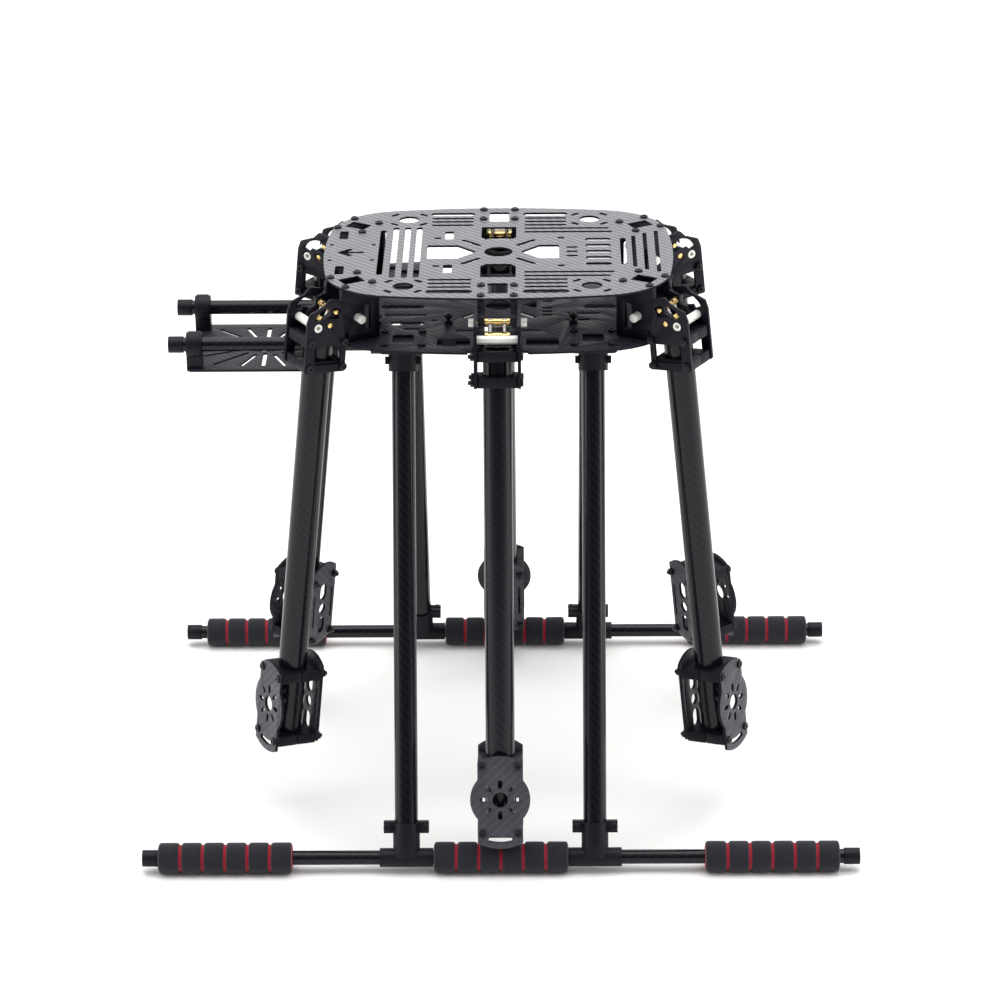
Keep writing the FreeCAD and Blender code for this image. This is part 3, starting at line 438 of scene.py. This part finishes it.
def arm_pieces(arm):
    tube_node = "arm_tube_" + arm.number
    low, high = arm.reach(tube_node)
    inner, outer = arm.radius(tube_node)
    shaft = tube("arm_tube_skin_" + arm.number, arm.spot(low, 0, 0), arm.spot(high, 0, 0), outer, inner)
    install(shaft, arm.body, "carbon_tube", TUBE, tube_node)
    cheeks = softened("hinge_cheeks_" + arm.number, "cheeks_finished_" + arm.number, CHEEK_EDGE)
    install(cheeks, arm.body, "black_anodised", ANODISED, "hinge_cheeks_" + arm.number)
    clamps = softened("tube_clamps_" + arm.number, "clamps_finished_" + arm.number, CLAMP_EDGE)
    install(clamps, arm.body, "black_anodised", MOULDED, "tube_clamps_" + arm.number)
    plates = laminate("motor_plates_" + arm.number, "motor_laminate_" + arm.number, MOTOR_PLATE, arm.above,
                      MOTOR_PLATE_EDGE)
    flat_weave(plates.data, arm.pivot, arm.along, arm.across)
    install(plates, arm.body, "carbon_plate", MOTOR_PLATE, "motor_plates_" + arm.number)
    hardware = softened("arm_hardware_" + arm.number, "hardware_finished_" + arm.number, SMALL_EDGE)
    hardware.data.materials.append(SCREW)
    hardware.data.materials.append(ALUMINIUM)
    paint_spacer_bar(arm, hardware.data)
    install(hardware, arm.body, "black_screws", SCREW, "arm_hardware_" + arm.number)
    pin = softened("latch_pin_" + arm.number, "latch_pin_turned_" + arm.number, SMALL_EDGE)
    install(pin, "latch_" + arm.number, "brass_pins", BRASS, "latch_pin_" + arm.number)


SPACER_BAR = (1.3 * MM, 9.2 * MM)      # the bar's place along and above the arm, from its pivot
SPACER_BAR_REACH = 3.4 * MM


def paint_spacer_bar(arm, mesh):
    """The bar across the hinge is bare metal; the screws beside it are black."""
    for polygon in mesh.polygons:
        offset = polygon.center - arm.pivot
        along = offset.dot(arm.along) - SPACER_BAR[0]
        above = offset.dot(arm.above) - SPACER_BAR[1]
        polygon.material_index = 1 if math.hypot(along, above) < SPACER_BAR_REACH else 0


# ---- latch springs ------------------------------------------------------------------
SPRING_ACROSS = 4.9 * MM           # from the middle of the arm to either spring
WIRE_R = 0.24 * MM
COIL_R = 1.1 * MM
COIL_TURNS = 8
COIL_STEPS = 14                    # points in one turn, and in one hook
HINGE_HOOK_R = 2.28 * MM           # the hooks run just clear of their pins
LATCH_HOOK_R = 1.88 * MM
HOOK_SWEEP_DEG = 260.0
HOOK_TO_COIL = 0.3 * MM


def spring_pair(arm):
    """Two close-wound tension springs, with a hook round the pin at each end."""
    slide = Vector(JOINTS["latch_slide_" + arm.number]["axis"])
    anchor = arm.pivot
    pin_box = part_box("latch_pin_" + arm.number)
    latch = (pin_box[0] + pin_box[1]) / 2.0
    bm = bmesh.new()
    for side in (-1, 1):
        offset = arm.across * (SPRING_ACROSS * side)
        path = spring_path(anchor + offset, latch + offset, slide, arm.across)
        sweep_wire(bm, path, WIRE_R)
    name = "latch_spring_coils_" + arm.number
    piece = link(name, mesh_from(bm, name))
    finish_shading(piece.data, 60.0)
    piece.data.materials.append(SPRING)
    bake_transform(piece)
    if arm.number == ARMS[0]:
        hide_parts("latch_springs")


def spring_path(low, high, up, across):
    """Points of a loop round the low pin, the coils, and a loop round the high pin."""
    side = up.cross(across).normalized()

    def hook(centre, radius, first_deg):
        for step in range(COIL_STEPS + 1):
            angle = math.radians(first_deg + HOOK_SWEEP_DEG * step / COIL_STEPS)
            points.append(centre + up * (radius * math.sin(angle)) + side * (radius * math.cos(angle)))

    points = []
    hook(low, HINGE_HOOK_R, -200.0)
    start = low + up * (HINGE_HOOK_R + HOOK_TO_COIL)
    span = (high - low).length - HINGE_HOOK_R - LATCH_HOOK_R - 2.0 * HOOK_TO_COIL
    for step in range(COIL_TURNS * COIL_STEPS + 1):
        angle = 2.0 * math.pi * step / COIL_STEPS
        spot = start + up * (span * step / (COIL_TURNS * COIL_STEPS))
        points.append(spot + side * (COIL_R * math.cos(angle)) + across * (COIL_R * math.sin(angle)))
    hook(high, LATCH_HOOK_R, -60.0)
    return points


def sweep_wire(bm, points, radius, sides=8):
    """Sweeps a round wire along the points, closed at both ends."""
    rings = []
    normal = None
    for index, point in enumerate(points):
        before = points[max(0, index - 1)]
        after = points[min(len(points) - 1, index + 1)]
        forward = (after - before).normalized()
        if normal is None:
            normal = side_axes(forward)[0]
        normal = (normal - forward * normal.dot(forward)).normalized()
        second = forward.cross(normal)
        ring = []
        for step in range(sides):
            angle = 2.0 * math.pi * step / sides
            out = normal * (radius * math.cos(angle)) + second * (radius * math.sin(angle))
            ring.append(bm.verts.new(point + out))
        rings.append(ring)
    for index in range(len(rings) - 1):
        for step in range(sides):
            after = (step + 1) % sides
            near, far = rings[index], rings[index + 1]
            bm.faces.new((near[step], near[after], far[after], far[step]))
    bm.faces.new(reversed(rings[0]))
    bm.faces.new(rings[-1])


# ---- landing gear and rails ---------------------------------------------------------
def islands(node):
    """The vertex places of each separate solid in a CAD node."""
    bm = bmesh.new()
    bm.from_mesh(frame["nodes"][node].data)
    bmesh.ops.remove_doubles(bm, verts=bm.verts, dist=WELD)
    left = set(bm.verts)
    groups = []
    while left:
        seed = left.pop()
        group = [seed]
        for vertex in group:
            for edge in vertex.link_edges:
                other = edge.other_vert(vertex)
                if other in left:
                    left.discard(other)
                    group.append(other)
        groups.append([vertex.co.copy() for vertex in group])
    bm.free()
    return sorted(groups, key=lambda group: sum(co.y for co in group) / len(group))


def tube_from(spots, name, axis=None):
    """Rebuilds one straight CAD tube, whose vertices are given, as a skinned tube."""
    if axis is None:
        far = max(spots, key=lambda co: (co - spots[0]).length)
        near = max(spots, key=lambda co: (co - far).length)
        ends = (ring_centre(spots, near, far), ring_centre(spots, far, near))
        axis = (ends[1] - ends[0]).normalized()
    centre = sum(spots, Vector()) / len(spots)
    along = [(co - centre).dot(axis) for co in spots]
    radii = [(co - centre - axis * (co - centre).dot(axis)).length for co in spots]
    return tube(name, centre + axis * min(along), centre + axis * max(along), max(radii), min(radii))


def ring_centre(spots, near, far):
    """The middle of the end ring that holds the vertex near."""
    span = (far - near).length
    ring = [co for co in spots if (co - near).length < 0.2 * span]
    return sum(ring, Vector()) / len(ring)


def gear_tubes():
    for number in range(1, 5):
        node = "leg_tube_" + str(number)
        piece = tube_from(islands(node)[0], node + "_skin")
        install(piece, "frame", "carbon_tube", TUBE, node)
    for node in ("skid_tubes", "accessory_rails"):
        for side, spots in zip(("near", "far"), islands(node)):
            piece = tube_from(spots, node + "_skin_" + side, Vector((1, 0, 0)))
            install(piece, "frame", "carbon_tube", TUBE, *([node] if side == "near" else []))


GROOVES = 5
GROOVE_HALF = 1.05 * MM
GROOVE_DEPTH = 1.5 * MM
FOAM_BORE = 5.05 * MM
OUTER_GRIP_X = 100.0 * MM          # grips beyond this have a red end towards the hub


def foam_profile(length, radius, bore, red_low, red_high):
    """Six foam beads with red grooves between them; the end towards the hub may be red too."""
    bead = length / (GROOVES + 1)
    profile = [(0.0, bore, red_low), (0.0, radius - 2.6 * MM, red_low), (0.35 * MM, radius - 1.5 * MM, 0)]
    for index in range(GROOVES + 1):
        left = bead * index
        right = bead * (index + 1)
        left_edge = left + (0.5 * MM if index == 0 else GROOVE_HALF)
        right_edge = right - (0.5 * MM if index == GROOVES else GROOVE_HALF)
        for along, drop in ((0.0, 1.1), (0.25, 0.62), (0.7, 0.24), (1.5, 0.04)):
            profile.append((left_edge + along * MM, radius - drop * MM, 0))
        for step in range(1, 6):
            profile.append((left_edge + 1.5 * MM + (right_edge - left_edge - 3.0 * MM) * step / 6, radius, 0))
        for along, drop in ((1.5, 0.04), (0.7, 0.24), (0.25, 0.62)):
            profile.append((right_edge - along * MM, radius - drop * MM, 0))
        if index < GROOVES:
            profile.append((right_edge, radius - 1.1 * MM, 1))
            profile.append((right - 0.55 * GROOVE_HALF, radius - GROOVE_DEPTH, 1))
            profile.append((right + 0.55 * GROOVE_HALF, radius - GROOVE_DEPTH, 1))
        else:
            profile.append((right_edge, radius - 1.1 * MM, 0))
    profile += [(length - 0.35 * MM, radius - 1.5 * MM, red_high), (length, radius - 2.6 * MM, red_high)]
    profile += [(length, bore, 0), (0.0, bore, 0)]
    return profile


def foam_grips():
    for number in range(1, 7):
        node = "foam_grip_" + str(number)
        low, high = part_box(node)
        radius = (high.z - low.z) / 2.0
        middle = (low + high) / 2.0
        seed = Vector((number * 7.3, number * 3.1, 0.0))

        def torn(along, angle, at, seed=seed, radius=radius):
            if at < 0.7 * radius:
                return 0.0
            spot = seed + Vector((along * 180.0, 2.0 * math.cos(angle), 2.0 * math.sin(angle)))
            sag = 0.16 * MM * (0.5 + 0.5 * noise.noise(spot * 2.3))
            return -sag - 0.05 * MM * abs(noise.noise(spot * 9.0))

        red_low = 1 if middle.x > OUTER_GRIP_X else 0
        red_high = 1 if middle.x < -OUTER_GRIP_X else 0
        profile = foam_profile(high.x - low.x, radius, FOAM_BORE, red_low, red_high)
        start = Vector((low.x, middle.y, middle.z))
        piece = lathe(node + "_beads", start, Vector((1, 0, 0)), profile, 96, torn)
        piece.data.materials.append(FOAM)
        piece.data.materials.append(RED_FOAM)
        install(piece, "frame", "foam", FOAM, node)


# ---- stage --------------------------------------------------------------------------
CAMERA_SPOT = Vector((0.0291, -2.4932, 1.2546))
CAMERA_PITCH_DEG = 22.91
CAMERA_YAW_DEG = 0.68
CAMERA_ROLL_DEG = 0.53
CAMERA_LENS = 135.5


def camera():
    data = bpy.data.cameras.new("camera")
    data.lens = CAMERA_LENS
    data.sensor_width = 36.0
    data.clip_end = 60.0
    obj = bpy.data.objects.new("camera", data)
    bpy.context.scene.collection.objects.link(obj)
    pitch = math.radians(CAMERA_PITCH_DEG)
    yaw = math.radians(CAMERA_YAW_DEG)
    roll = math.radians(CAMERA_ROLL_DEG)
    forward = Vector((-math.sin(yaw) * math.cos(pitch), math.cos(yaw) * math.cos(pitch), -math.sin(pitch)))
    level = Vector((math.cos(yaw), math.sin(yaw), 0))
    raised = level.cross(forward)
    right = level * math.cos(roll) - raised * math.sin(roll)
    up = level * math.sin(roll) + raised * math.cos(roll)
    turn = Matrix((right, up, -forward)).transposed().to_4x4()
    obj.matrix_world = Matrix.Translation(CAMERA_SPOT) @ turn
    bpy.context.scene.camera = obj


def floor():
    bm = bmesh.new()
    bmesh.ops.create_circle(bm, cap_ends=True, radius=14.0, segments=96)
    piece = link("studio_floor", mesh_from(bm, "studio_floor"))
    graph = Graph("studio_floor")
    patches = graph.noise(1.5, 2.0)
    graph.paint("Base Color", graph.blend_colours(patches, (0.93, 0.925, 0.90), (0.95, 0.945, 0.925)))
    graph.set(Roughness=0.85, Specular_IOR_Level=0.1)
    piece.data.materials.append(graph.material)


def area_light(name, spot, target, size, power, colour=(1, 1, 1)):
    data = bpy.data.lights.new(name, "AREA")
    data.shape = "RECTANGLE"
    data.size, data.size_y = size
    data.energy = power
    data.color = colour
    obj = bpy.data.objects.new(name, data)
    bpy.context.scene.collection.objects.link(obj)
    obj.location = spot
    obj.rotation_euler = (Vector(target) - Vector(spot)).to_track_quat("-Z", "Y").to_euler()
    return obj


def sky():
    """White to the camera; for light it is bright all round and dim low on the camera's side."""
    world = bpy.data.worlds.new("studio")
    world.use_nodes = True
    bpy.context.scene.world = world
    nodes, links = world.node_tree.nodes, world.node_tree.links
    nodes.clear()
    output = nodes.new("ShaderNodeOutputWorld")
    direct = nodes.new("ShaderNodeBackground")
    direct.inputs["Color"].default_value = (1.0, 1.0, 1.0, 1.0)
    direct.inputs["Strength"].default_value = 1.0
    lit = nodes.new("ShaderNodeBackground")
    lit.inputs["Strength"].default_value = 1.0
    where = nodes.new("ShaderNodeTexCoord")
    ramp = nodes.new("ShaderNodeValToRGB")
    toward = nodes.new("ShaderNodeVectorMath")
    toward.operation = "DOT_PRODUCT"
    toward.inputs[1].default_value = (0.0, -0.95, -0.10)
    links.new(where.outputs["Generated"], toward.inputs[0])
    links.new(toward.outputs["Value"], ramp.inputs["Fac"])
    ramp.color_ramp.elements[0].position = 0.25
    ramp.color_ramp.elements[0].color = (0.95, 0.95, 0.96, 1.0)
    ramp.color_ramp.elements[1].position = 0.80
    ramp.color_ramp.elements[1].color = (0.10, 0.10, 0.11, 1.0)
    links.new(ramp.outputs["Color"], lit.inputs["Color"])
    path = nodes.new("ShaderNodeLightPath")
    mix = nodes.new("ShaderNodeMixShader")
    links.new(path.outputs["Is Camera Ray"], mix.inputs["Fac"])
    links.new(lit.outputs[0], mix.inputs[1])
    links.new(direct.outputs[0], mix.inputs[2])
    links.new(mix.outputs[0], output.inputs["Surface"])


def stage():
    camera()
    floor()
    sky()
    area_light("overhead", (0.0, 0.2, 2.6), (0, 0, 0.3), (3.2, 2.6), 62.0)
    area_light("left_strip", (-2.2, -0.6, 1.0), (0, 0, 0.25), (0.7, 2.0), 14.0)
    area_light("right_strip", (2.2, -0.6, 1.0), (0, 0, 0.25), (0.7, 2.0), 14.0)
    bpy.context.scene.view_settings.view_transform = "Standard"


stage()
plate_piece("top_plate", PAINTED_SHEEN_PLATE)
plate_piece("bottom_plate", LOWER_PLATE)
plate_piece("battery_plate", LOWER_PLATE)
plain_pieces()
for arm_number in ARMS:
    hexa_arm = Arm(arm_number)
    arm_pieces(hexa_arm)
    spring_pair(hexa_arm)
gear_tubes()
foam_grips()
